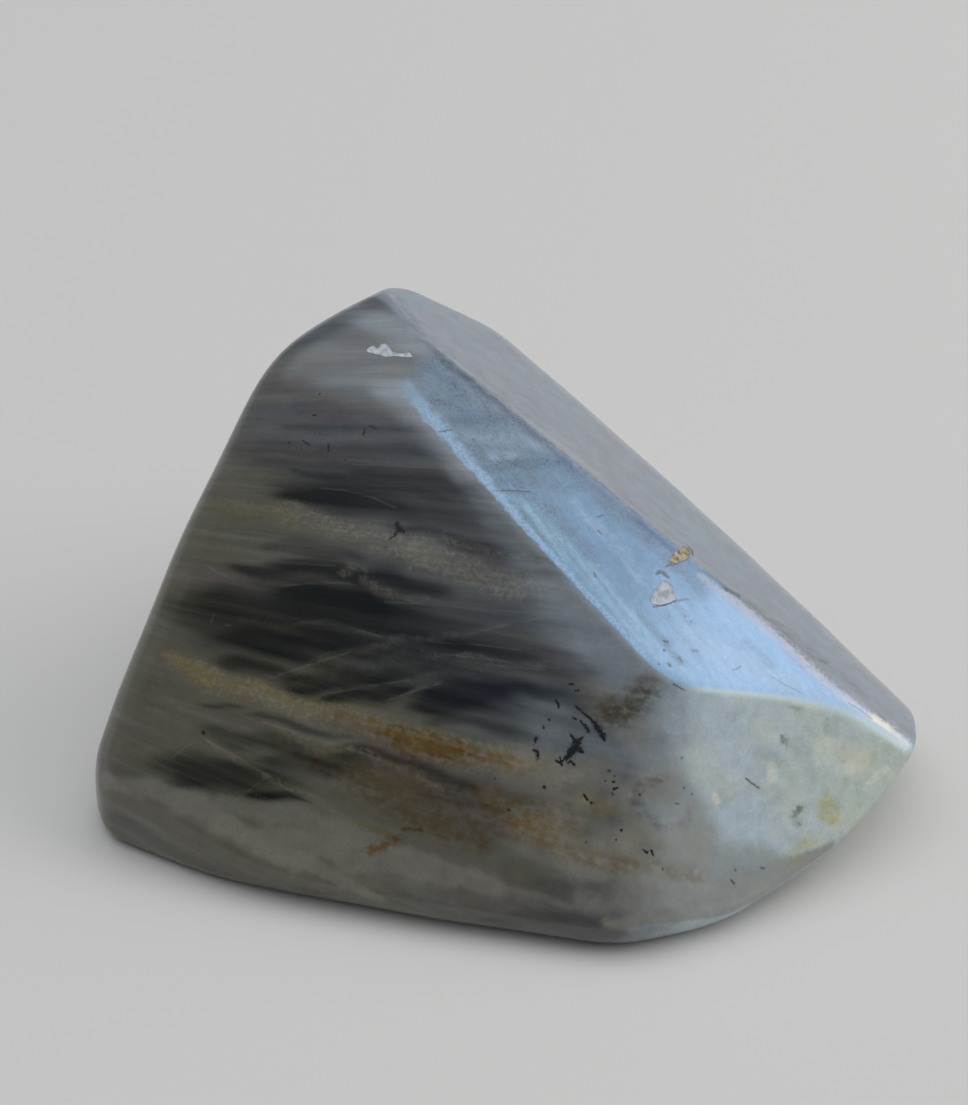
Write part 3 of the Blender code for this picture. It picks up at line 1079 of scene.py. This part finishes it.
def edge_distances(points):
    """Signed distances in mm from the edges of the blue face and of the pale front."""
    faces = {"front": DARK_FRONT, "pale": PALE_FRONT, "back": GREY_BACK, "shoulder": SHOULDER}
    outside = dict(zip(faces, outside_domes(points, faces.values())))
    blue = outside_groups(points)["flash"]
    pale_side = (outside["pale"] - outside["front"]) / turn_between(PALE_FRONT, DARK_FRONT)
    distances = {"pale_side": pale_side}
    for name, face in faces.items():
        distances["in_from_" + name] = (blue - outside[name]) / turn_between(BLUE_FACE, face)
    return distances


def territories(points):
    """How far each point is inside the part of the stone that each group of faces makes."""
    groups = outside_groups(points)
    inside = {}
    for name, own in groups.items():
        others = [other for key, other in groups.items() if key != name]
        inside["on " + name] = own - np.max(others, axis=0)
    return inside


def wandered(points):
    """Points moved a little, so that what is worked out from them has uneven sides."""
    moved = points.copy()
    for length, size, run in WANDERINGS:
        turn = points @ np.array(run) * 2 * math.pi / length
        sideways = np.sin(WANDER_QUICKER * turn + WANDER_LATER)
        moved += size * np.stack([np.sin(turn), sideways, np.cos(turn)], axis=1)
    return moved


def softened(share):
    """A share of 0 to 1 that leaves 0 and reaches 1 gently."""
    return share * share * (3 - 2 * share)


def zone_amounts(points, zones, ending):
    """How strongly zones of one kind colour each point, 0 to 1. Zones that overlap add up."""
    clear = np.ones(len(points))
    for strength, dabs in zones.values():
        clear *= 1 - strength * softened(np.clip(coverage(points, dabs, ending), 0, 1))
    return 1 - clear


def most_covered(points, strokes):
    """The highest coverage of each point by any stroke of a table."""
    return np.max([coverage(points, dabs) for dabs in strokes.values()], axis=0)


def keep(mesh, name, values):
    """Stores one number a vertex, which the material reads by its name."""
    layer = mesh.attributes.new(name, "FLOAT", "POINT")
    layer.data.foreach_set("value", np.asarray(values, np.float32))


class StoneSkin:
    """The stone's fine surface, and where it lies in the solid's frame."""

    def __init__(self):
        self.mesh = refined_ball()
        self.points = surface_points(ball_directions(self.mesh), STEPS)
        self.low = self.points.min(axis=0)
        self.high = self.points.max(axis=0)
        self.solid_low, self.solid_high = (np.array(corner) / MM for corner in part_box("labradorite"))

    def in_solid(self, places):
        """Places of the grinding frame in the solid's own box, in mm."""
        share = (places - self.low) / (self.high - self.low)
        return self.solid_low + share * (self.solid_high - self.solid_low)


def carve_chips(points, normals, mesh):
    """Carves the chips, and keeps how far inside a chip each vertex is."""
    carved = points.copy()
    for name, chips in (("white_chip", WHITE_CHIPS), ("gold_chip", GOLD_CHIPS)):
        deepest = np.full(len(points), -CHIP_REACH, float)
        for chip in chips.values():
            inside, down = inside_chip(points, normals, chip)
            carved -= normals * chip_depth(inside, down, chip)[:, None]
            deepest = np.maximum(deepest, inside)
        keep(mesh, name, deepest)
    return carved


def make_stone():
    """The stone's skin, with its chips, the marks that its material reads, and the material."""
    skin = StoneSkin()
    points, mesh = skin.points, skin.mesh
    normals = outward(points)
    carved = carve_chips(points, normals, mesh)
    mesh.vertices.foreach_set("co", (skin.in_solid(carved) * MM).ravel())

    keep(mesh, "ink", most_covered(points, INK))
    keep(mesh, "line", most_covered(points, LINES))
    uneven = wandered(points)
    for name, zones in ZONES.items():
        keep(mesh, name, zone_amounts(uneven, zones, ENDINGS.get(name, SOFT)))
    for name, values in {**edge_distances(points), **territories(points)}.items():
        keep(mesh, name, np.clip(values, -FARTHEST, FARTHEST))

    mesh.update()
    mesh.shade_smooth()
    mesh.materials.append(stone_material(skin))
    stone = bpy.data.objects.new("stone_skin", mesh)
    bpy.context.scene.collection.objects.link(stone)
    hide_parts("labradorite")
    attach(stone, "root")
    return skin


class Socket:
    """An output socket of a material's nodes, or just its tree. Sums on it add Math nodes."""

    def __init__(self, tree, socket=None):
        self.tree = tree
        self.socket = socket

    def node(self, kind, settings, sockets, output=0):
        """Adds any node: its settings are set first, then its sockets' values or links."""
        node = self.tree.nodes.new(kind)
        for name, setting in settings.items():
            setattr(node, name, setting)
        for name, value in sockets.items():
            if isinstance(value, Socket):
                self.tree.links.new(value.socket, node.inputs[name])
            else:
                node.inputs[name].default_value = value
        return Socket(self.tree, node.outputs[output])

    def feeds(self, socket):
        """Links this socket to an input of a shader."""
        self.tree.links.new(self.socket, socket)

    def maths(self, operation, *values):
        return self.node("ShaderNodeMath", {"operation": operation}, dict(enumerate(values)))

    def __add__(self, other):
        return self.maths("ADD", self, other)

    def __sub__(self, other):
        return self.maths("SUBTRACT", self, other)

    def __rsub__(self, other):
        return self.maths("SUBTRACT", other, self)

    def __mul__(self, other):
        return self.maths("MULTIPLY", self, other)

    def __truediv__(self, other):
        return self.maths("DIVIDE", self, other)

    def __abs__(self):
        return self.maths("ABSOLUTE", self)

    __radd__ = __add__
    __rmul__ = __mul__

    def at_least(self, other):
        """The larger of this and another value."""
        return self.maths("MAXIMUM", self, other)

    def rise(self, low, high):
        """0 up to low, 1 from high, and a soft slope between them. low may be the larger."""
        settings = {"interpolation_type": "SMOOTHSTEP"}
        return self.node("ShaderNodeMapRange", settings, {"Value": self, "From Min": low, "From Max": high})

    def bell(self, middle, width):
        """1 at middle, and 0 from width away."""
        return abs(self - middle).rise(width, 0)

    def swing(self, size):
        """A texture of 0 to 1 as a change of up to half this size each way."""
        return (self - 0.5) * size

    def spread(self, sizes, seed):
        """This place, measured in these sizes and moved by a seed."""
        shares = tuple(1 / size for size in sizes)
        settings = {"operation": "MULTIPLY_ADD"}
        return self.node("ShaderNodeVectorMath", settings, {0: self, 1: shares, 2: (seed, seed, seed)})

    def noise(self, detail, roughness=0.5, curls=0):
        sockets = {"Vector": self, "Scale": 1, "Detail": detail, "Roughness": roughness, "Distortion": curls}
        return self.node("ShaderNodeTexNoise", {}, sockets)

    def clouds(self, texture):
        """Soft patches at this place, 0 to 1 round a middle of 0.5."""
        spread = self.spread((texture.size, texture.size, texture.size), texture.seed)
        return spread.noise(texture.detail, texture.roughness, texture.curls)

    def streaks(self, texture):
        """Streaks along the grain at this place in the grain, 0 to 1 round a middle of 0.5."""
        spread = self.spread((texture.length, texture.width, texture.length), texture.seed)
        return spread.noise(texture.detail)

    def along(self, direction):
        """How far this place lies along a direction."""
        settings = {"operation": "DOT_PRODUCT"}
        return self.node("ShaderNodeVectorMath", settings, {0: self, 1: tuple(direction)}, "Value")

    def times(self, factor):
        """This colour, made brighter or darker."""
        return self.node("ShaderNodeVectorMath", {"operation": "SCALE"}, {0: self, "Scale": factor})


def blend(under, over, amount):
    """One colour laid over another."""
    return amount.node("ShaderNodeMix", {"data_type": "RGBA"}, {0: amount, 6: under, 7: over}, 2)


def stained(under, stain, amount):
    """A colour seen through a stain."""
    settings = {"data_type": "RGBA", "blend_type": "MULTIPLY"}
    return amount.node("ShaderNodeMix", settings, {0: amount, 6: under, 7: stain}, 2)


def frayed(amount, texture, fray):
    """A zone whose strength a texture varies, most of all at its sides."""
    return amount + texture.swing(fray) * (amount.rise(0, 0.5) - amount.rise(0.5, 1.1) * 0.6)


def grained_place(place, skin, face, fibres, fan=0):
    """The place along the fibres of one face, across them and into the stone."""
    first, second = skin.in_solid(on_stone(fibres))
    out = looking(face)
    run = second - first
    run -= out * (run @ out)
    run /= np.linalg.norm(run)
    across = np.cross(out, run)
    middle = (first + second) / 2
    along = place.along(run) - float(middle @ run)
    over = (place.along(across) - float(middle @ across)) / (1 + along * fan)
    depth = place.along(out) - float(middle @ out)
    return place.node("ShaderNodeCombineXYZ", {}, {0: along, 1: over, 2: depth})


def waved(grained, place):
    """The grain with gentle waves in it."""
    settings = {"operation": "MULTIPLY_ADD"}
    sockets = {0: place.clouds(GRAIN_SWAY), 1: (0, GRAIN_SWAY_SIZE, 0), 2: grained}
    return grained.node("ShaderNodeVectorMath", settings, sockets)


def down_ridge(place, skin):
    """How far down the blue face's front ridge a place lies: 0 at its top, and 1 at the tip."""
    top, tip = skin.in_solid(on_stone([RIDGE_TOP, RIDGE_TIP]))
    run = tip - top
    return (place.along(run) - float(top @ run)) / float(run @ run)


def coolness(place, grained):
    """How blue the front's greys are: olive on the left and low down, blue on the right and high up."""
    up = grained.along(ACROSS_GRAIN)
    bluer = up.rise(5, 20) * 22 - up.rise(-8, -16) * 26
    return (grained.along(ALONG_GRAIN) + bluer + place.clouds(COOL_DRIFT).swing(50)).rise(-24, 14)


def hidden_side(marks):
    """1 on the parts of the stone that the picture doesn't show, which get windows of their own."""
    return marks["on front"].at_least(marks["on shoulder"]).rise(-2.5, -6)


def on_blue_face(place, marks):
    """1 on the blue face, which fades into the shoulder at its top, and 0 elsewhere."""
    into_shoulder = marks["in_from_shoulder"] + place.clouds(TOP_FADE).swing(3)
    return marks["on flash"].rise(-0.25, 0.02) * into_shoulder.rise(-0.6, 2.4)


def near_flash(marks):
    """1 on the blue face and its edges, and 0 elsewhere."""
    return marks["on flash"].rise(-2.5, -1.2)


def within_chip(depth):
    """1 inside a chip's outline, and 0 outside it."""
    return depth.rise(-0.02, 0.08)


def smoky_grey(grained, cool):
    """The body of the front: smoky greys in long, soft streaks."""
    colour = blend(SMOKE_OLIVE, SMOKE_BLUE, cool)
    colour = blend(colour, SMOKE_MAUVE, grained.streaks(MAUVE_SMOKE).rise(0.48, 0.66) * 0.6)
    return blend(colour, SMOKE_LIGHT, grained.streaks(LIGHT_SMOKE).rise(0.45, 0.75) * 0.5)


def dark_windows(colour, grained, cool, marks):
    """Clear, nearly black windows, frayed along the grain."""
    elsewhere = grained.streaks(HIDDEN_WINDOWS).rise(0.47, 0.66) * hidden_side(marks) * 0.75
    amount = frayed(marks["dark"].at_least(elsewhere), grained.streaks(WINDOW_STREAKS), 0.9)
    return blend(colour, blend(WINDOW_GREEN, WINDOW_BLUE, cool), amount)


def light_veils(colour, place, grained, cool, marks):
    """Light bands of fibres and wool."""
    elsewhere = grained.streaks(HIDDEN_VEILS).rise(0.52, 0.68) * hidden_side(marks) * 0.6
    amount = marks["veil"].at_least(elsewhere)
    texture = (grained.streaks(VEIL_FIBRES) * 0.3 + place.clouds(VEIL_WOOL) * 0.7).rise(0.32, 0.68)
    colour = blend(colour, blend(VEIL_WARM, VEIL_COOL, cool), frayed(amount, texture, 0.7) * 0.8)
    return blend(colour, VEIL_FIBRE, texture.rise(0.5, 1) * amount * 0.3)


def milky(colour, place, grained, marks):
    """Bluish milk near the blue face, and warm grey haze low in the front."""
    colour = blend(colour, MILK, frayed(marks["milk"], grained.streaks(MILK_STREAKS), 1.6) * 0.75)
    return blend(colour, BEIGE, frayed(marks["beige"], place.clouds(BEIGE_CLOUDS), 1.4) * 0.85)


def fibred(colour, place, grained, marks):
    """Fine streaks along the grain, which give way to mottling on the right and low down."""
    low_end = 0.4 + grained.along(ACROSS_GRAIN).rise(-17, -9) * 0.6
    striped = grained.along(ALONG_GRAIN).rise(24, 8) * low_end * (1 - marks["haze"] * 0.8)
    lines = grained.streaks(FRONT_STREAKS).swing(0.6) + grained.streaks(FRONT_HAIRS).swing(0.3)
    mottling = place.clouds(FRONT_MOTTLING).swing(0.5)
    grit = place.clouds(FRONT_GRIT).swing(0.3)
    return colour.times(1 + lines * striped + mottling * (1 - striped) + grit)


def light_lines(colour, grained, marks):
    """Hair-fine light lines, broken here and there."""
    broken = grained.streaks(LINE_BREAKS).rise(0.3, 0.6)
    return blend(colour, LINE_LIGHT, marks["line"].rise(-0.4, 1) * broken * 0.12)


def pale_front(colour, place, marks):
    """The pale grey-green right end of the front, which fades into the dark front."""
    rightwards = place.along(RIGHTWARDS) + place.clouds(PALE_DRIFT).swing(30)
    pale = blend(PALE_BLUE, PALE_GREEN, rightwards.rise(22, 40))
    pale = blend(pale, PALE_WARM, place.clouds(WARM_PATCHES).rise(0.5, 0.68) * 0.4)
    pale = blend(pale, PALE_DARK, place.clouds(DARK_PATCHES).rise(0.46, 0.7) * 0.5)
    pale = pale.times(1 + place.clouds(PALE_MOTTLING).swing(0.4) + place.clouds(PALE_GRIT).swing(0.3))
    edge = marks["pale_side"] + place.clouds(PALE_EDGE).swing(6)
    amount = edge.rise(-4, 4.5) * (1 - marks["beige"].rise(0.1, 1) * 0.7)
    return blend(colour, pale, amount * 0.95)


def all_stains(colour, place, grained, marks):
    """Ochre, rust, brown, violet and green stains, in grains and streaks."""
    grains = place.clouds(STAIN_GRAINS) * 0.6 + grained.streaks(STAIN_STREAKS) * 0.4
    grains = grains.rise(0.34, 0.66)
    for name, stain in STAINS.items():
        colour = stained(colour, stain, frayed(marks[name], grains, 1))
    return colour


def flash_colour(grained, streaks, down, marks):
    """The blues of the flash, which is painted reflection: dull at the top and bright low down, where it
    also stands in for the window light's reflection; teal beside the ridge.
    """
    glow = down + grained.streaks(FLASH_PATCHES).swing(0.3)
    colour = blend(FLASH_DULL, FLASH_MIDDLE, glow.rise(0.12, 0.42))
    colour = blend(colour, FLASH_SKY, glow.rise(0.42, 0.7))
    teal = marks["in_from_front"].bell(1.9, 2.4) * down.rise(0.15, 0.3) * down.rise(0.72, 0.62)
    colour = blend(colour, FLASH_TEAL, teal * streaks.rise(0.25, 0.65) * 0.55)
    return blend(colour, FLASH_GREY, marks["in_from_back"].rise(3, 0.3) * down.rise(0.75, 0.4) * 0.5)


def blue_face(place, down, marks, skin):
    """The blue face: the flash as painted reflection, its deeper and paler parts, and the mottling of its
    upper end.
    """
    grained = grained_place(place, skin, BLUE_FACE, BLUE_FIBRES)
    streaks = grained.streaks(FLASH_STREAKS)
    colour = flash_colour(grained, streaks, down, marks)
    grains = place.clouds(FLASH_CLOUDS) * 0.5 + streaks * 0.5
    colour = blend(colour, FLASH_DEEP, frayed(marks["deep_blue"], grains, 2) * 0.6)
    colour = blend(colour, FLASH_PALE, frayed(marks["pale_blue"], grains, 1.5) * 0.45)
    mottling = place.clouds(FLASH_MOTTLING).swing(0.8) + place.clouds(FLASH_GRIT).swing(0.4)
    lines = streaks.swing(0.35) + grained.streaks(FLASH_HAIRS).swing(0.3)
    colour = colour.times(1 + (lines + mottling) * (1 - down.rise(0.3, 0.7) * 0.45))
    speckles = place.clouds(SPECKLES).rise(0.5, 0.66)
    speckled = place.clouds(SPECKLED_PATCHES).rise(0.44, 0.62) * down.rise(0.45, 0.1)
    return blend(colour, FLASH_SPECK, speckles * (speckled + marks["deep_blue"] * 0.7) * 0.55)


def ridge_highlight_band(colour, place, down, marks):
    """The bright, cracked blue band inside the front ridge of the blue face: a painted highlight where the
    rounded ridge catches the light and the flash.
    """
    width = 0.55 + down.rise(0.42, 0) * 0.75
    across = marks["in_from_front"] / width + place.clouds(BAND_SIDES).swing(1.3)
    ends = down.rise(-0.03, 0.07) * marks["in_from_pale"].rise(0.5, 3) * near_flash(marks)
    band = across.rise(-0.25, 0.12) * across.rise(1.4, 0.6) * ends
    colour = blend(colour, FLASH_HIGHLIGHT, band * (0.65 + down.rise(0, 0.3) * 0.2))
    return blend(colour, FLASH_DEEP, band * place.clouds(BAND_CRACKS).rise(0.47, 0.6) * 0.4)


def light_on_back_ridge(colour, place, marks):
    """Broken light on the edge behind the blue face, lilac at first and cream at the tip."""
    broken = place.clouds(LIGHT_BREAKS).rise(0.36, 0.62) * 0.65 + 0.35
    behind = (marks["in_from_back"] + (broken - 0.6) * 0.8).bell(0.35, 1.6) * marks["glint"].rise(0, 0.7)
    tip = marks["glint"].rise(0.74, 0.97)
    return blend(colour, blend(RIDGE_LILAC, CREAM, tip), behind * (broken + (1 - broken) * tip) * 0.9)


def light_on_low_ridge(colour, marks):
    """Pale light on the edge between the blue face and the pale front."""
    below = marks["in_from_pale"].bell(-0.15, 0.55) * marks["in_from_front"].rise(0.8, 2.5)
    below = below * marks["in_from_back"].rise(0.2, 1.5) * near_flash(marks)
    return blend(colour, RIDGE_CREAM, below * 0.55)


def grey_back_face(place, marks, skin):
    """The grey face behind the blue one, with warm streaks along it."""
    streaks = grained_place(place, skin, GREY_BACK, BACK_FIBRES).streaks(BACK_STREAKS)
    colour = blend(BACK_GREY, BACK_VIOLET, place.clouds(VIOLET_PATCHES).rise(0.4, 0.6))
    colour = blend(colour, BACK_TAUPE, streaks.rise(0.48, 0.68) * 0.5)
    colour = colour.times(1 + place.clouds(BACK_MOTTLING).swing(0.5) + streaks.swing(0.25))
    return blend(colour, BACK_LIGHT, marks["in_from_back"].bell(-0.9, 1.3) * streaks.rise(0.3, 0.6) * 0.7)


def inked(colour, place, marks):
    """Black inclusions with ragged sides and a faint dark halo."""
    ragged = marks["ink"] + place.clouds(INK_SIDES).swing(3)
    colour = blend(colour, INK_HALO, ragged.rise(-1.1, 0.3) * marks["ink"].rise(-1, -0.6) * 0.4)
    faint = marks["on flash"].rise(-0.2, 0.2) * 0.4 + marks["pale_side"].rise(-0.5, 2) * 0.5
    return blend(colour, INK_BLACK, ragged.rise(-0.2, 0.45) * (0.92 - faint))


def chipped(colour, place, marks):
    """White and golden broken crystal inside the chips, and painted shade as dark rims at the chips' walls.
    """
    grains = place.clouds(CRYSTAL_GRAINS)
    white = blend(CHIP_BLUE, CHIP_WHITE, grains.rise(0.3, 0.62))
    gold = blend(CHIP_BROWN, CHIP_GOLD, grains.rise(0.4, 0.6))
    for name, crystal in (("white_chip", white), ("gold_chip", gold)):
        colour = blend(colour, CHIP_RIM_SHADE, marks[name].bell(-0.06, 0.16) * grains.rise(0.45, 0.6) * 0.4)
        colour = blend(colour, crystal, within_chip(marks[name]))
    return colour


def front_colour(place, grained, marks):
    """The whole front, from its smoky body to the pale right end."""
    cool = coolness(place, grained)
    colour = smoky_grey(grained, cool)
    colour = dark_windows(colour, grained, cool, marks)
    colour = light_veils(colour, place, grained, cool, marks)
    colour = blend(colour, HAZE, frayed(marks["haze"], place.clouds(HAZE_CLOUDS), 0.8))
    colour = milky(colour, place, grained, marks)
    colour = fibred(colour, place, grained, marks)
    colour = light_lines(colour, grained, marks)
    return pale_front(colour, place, marks)


def stone_colour(place, marks, skin):
    """The stone's colour: its faces first, then what lies over all of them."""
    grained = waved(grained_place(place, skin, DARK_FRONT, FRONT_FIBRES, FRONT_FAN), place)
    down = down_ridge(place, skin)
    colour = front_colour(place, grained, marks)
    colour = blend(colour, grey_back_face(place, marks, skin), marks["on back right"].rise(-0.6, 0.1))
    colour = blend(colour, blue_face(place, down, marks, skin), on_blue_face(place, marks))
    colour = all_stains(colour, place, grained, marks)
    colour = ridge_highlight_band(colour, place, down, marks)
    colour = light_on_back_ridge(colour, place, marks)
    colour = light_on_low_ridge(colour, marks)
    colour = blend(colour, CREAM, frayed(marks["cream"], place.clouds(CREAM_GRAINS), 1.5) * 0.8)
    colour = inked(colour, place, marks)
    return chipped(colour, place, marks)


def stone_material(skin):
    """Polished labradorite: its colours, its gloss and its polish."""
    material = bpy.data.materials.new("polished labradorite")
    material.use_nodes = True
    shader = material.node_tree.nodes["Principled BSDF"]
    shader.inputs["IOR"].default_value = STONE_IOR

    nodes = Socket(material.node_tree)
    place = nodes.node("ShaderNodeTexCoord", {}, {}, "Object").spread((MM, MM, MM), 0)
    marks = {}
    for layer in skin.mesh.attributes:
        if layer.data_type == "FLOAT" and layer.domain == "POINT":
            marks[layer.name] = nodes.node("ShaderNodeAttribute", {"attribute_name": layer.name}, {}, "Fac")

    stone_colour(place, marks, skin).feeds(shader.inputs["Base Color"])

    broken = within_chip(marks["white_chip"].at_least(marks["gold_chip"]))
    roughness = ROUGHNESS + place.clouds(GLOSS_PATCHES).swing(GLOSS_SPREAD) + broken * BROKEN_ROUGHNESS
    roughness.feeds(shader.inputs["Roughness"])

    height = place.clouds(POLISH_GRAIN) * (POLISH_HEIGHT + broken * CRYSTAL_HEIGHT)
    bump = height.node("ShaderNodeBump", {}, {"Strength": 1, "Distance": MM, "Height": height})
    bump.feeds(shader.inputs["Normal"])
    return material


def pale_floor():
    """A square of plain pale floor, which isn't a piece of the stone."""
    mesh = bpy.data.meshes.new("floor")
    corners = [(-1, -1, 0), (1, -1, 0), (1, 1, 0), (-1, 1, 0)]
    mesh.from_pydata([Vector(corner) * FLOOR_REACH for corner in corners], [], [(0, 1, 2, 3)])
    floor = bpy.data.objects.new("floor", mesh)
    bpy.context.scene.collection.objects.link(floor)
    material = bpy.data.materials.new("pale floor")
    material.use_nodes = True
    shader = material.node_tree.nodes["Principled BSDF"]
    shader.inputs["Base Color"].default_value = FLOOR_COLOUR
    shader.inputs["Roughness"].default_value = FLOOR_ROUGHNESS
    mesh.materials.append(material)


def make_softbox(name, softbox):
    """A round soft light that faces the stone."""
    light = bpy.data.lights.new(name, "AREA")
    light.shape = "DISK"
    light.size = softbox.width
    light.energy = softbox.power
    light.color = softbox.colour
    lamp = bpy.data.objects.new(name, light)
    direction = Vector(softbox.direction).normalized()
    lamp.location = direction * softbox.distance
    lamp.rotation_euler = direction.to_track_quat("Z", "Y").to_euler()
    bpy.context.scene.collection.objects.link(lamp)


def studio():
    """The softboxes, in a dim room with a bright ceiling and a pale horizon."""
    for name, softbox in SOFTBOXES.items():
        make_softbox(name, softbox)
    world = bpy.data.worlds.new("studio")
    world.use_nodes = True
    background = world.node_tree.nodes["Background"]
    background.inputs["Color"].default_value = ROOM_COLOUR
    up = Socket(world.node_tree).node("ShaderNodeTexCoord", {}, {}, "Generated").along(UPWARDS)
    ceiling = up.rise(CEILING_FROM, 1) * CEILING_GLOW
    horizon = up.rise(HORIZON_TOP, HORIZON_FOOT) * HORIZON_GLOW
    (ceiling + horizon + WALL_GLOW).feeds(background.inputs["Strength"])
    bpy.context.scene.world = world
    bpy.context.scene.view_settings.view_transform = "Standard"


def picture_camera(skin):
    """The camera, where the picture was taken from."""
    data = bpy.data.cameras.new("camera")
    data.lens = LENS
    data.sensor_width = SENSOR
    data.clip_start = MM
    camera = bpy.data.objects.new("camera", data)
    middle = (skin.low + skin.high) / 2
    camera.location = Vector((CAMERA - np.array([middle[0], middle[1], 0])) * MM)
    camera.rotation_euler = (math.radians(90 - CAMERA_TILT), 0, 0)
    bpy.context.scene.collection.objects.link(camera)
    bpy.context.scene.camera = camera


skin = make_stone()
pale_floor()
studio()
picture_camera(skin)
